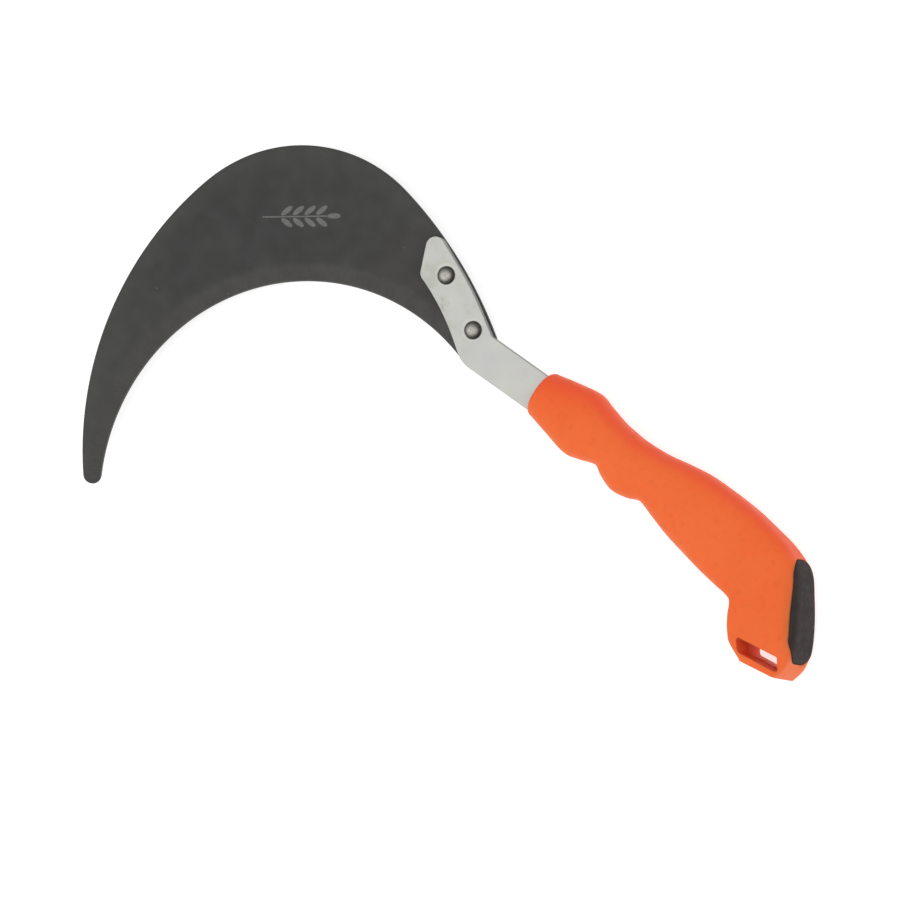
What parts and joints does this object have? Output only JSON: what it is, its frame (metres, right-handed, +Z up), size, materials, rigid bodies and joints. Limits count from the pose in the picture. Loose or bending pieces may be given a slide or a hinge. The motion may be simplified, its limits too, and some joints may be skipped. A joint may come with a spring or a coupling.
{
  "type": "hand sickle",
  "caption": "Hand sickle: dark crescent blade riveted to a bent zinc-plated tang, in an orange finger-grip handle with a hooked heel, a rubber pad and a lanyard slot.",
  "frame": {"origin": "bottom centre of the bounding box of the sickle lying flat, with the ground side of its blade up", "axes": "+X from the blade towards the heel of the handle, along the hidden tang; +Y towards the blade's back; +Z up through the blade's thickness"},
  "size_m": [0.329, 0.1724, 0.0266],
  "materials": {
    "coated_steel": "dark grey baked coating, satin, with a bare ground band along the cutting edge",
    "zinc_steel": "dull zinc plate with light scuffs",
    "rivet_steel": "plain steel, formed domes",
    "orange_plastic": "satin moulded plastic with a fine grain",
    "dark_rubber": "matte"
  },
  "bodies": {
    "root": {"blade": "coated_steel", "tang_strap": "zinc_steel", "rivet_front": "rivet_steel", "rivet_rear": "rivet_steel", "handle_grip": "orange_plastic", "heel_pad": "dark_rubber"}
  },
  "joints": []
}
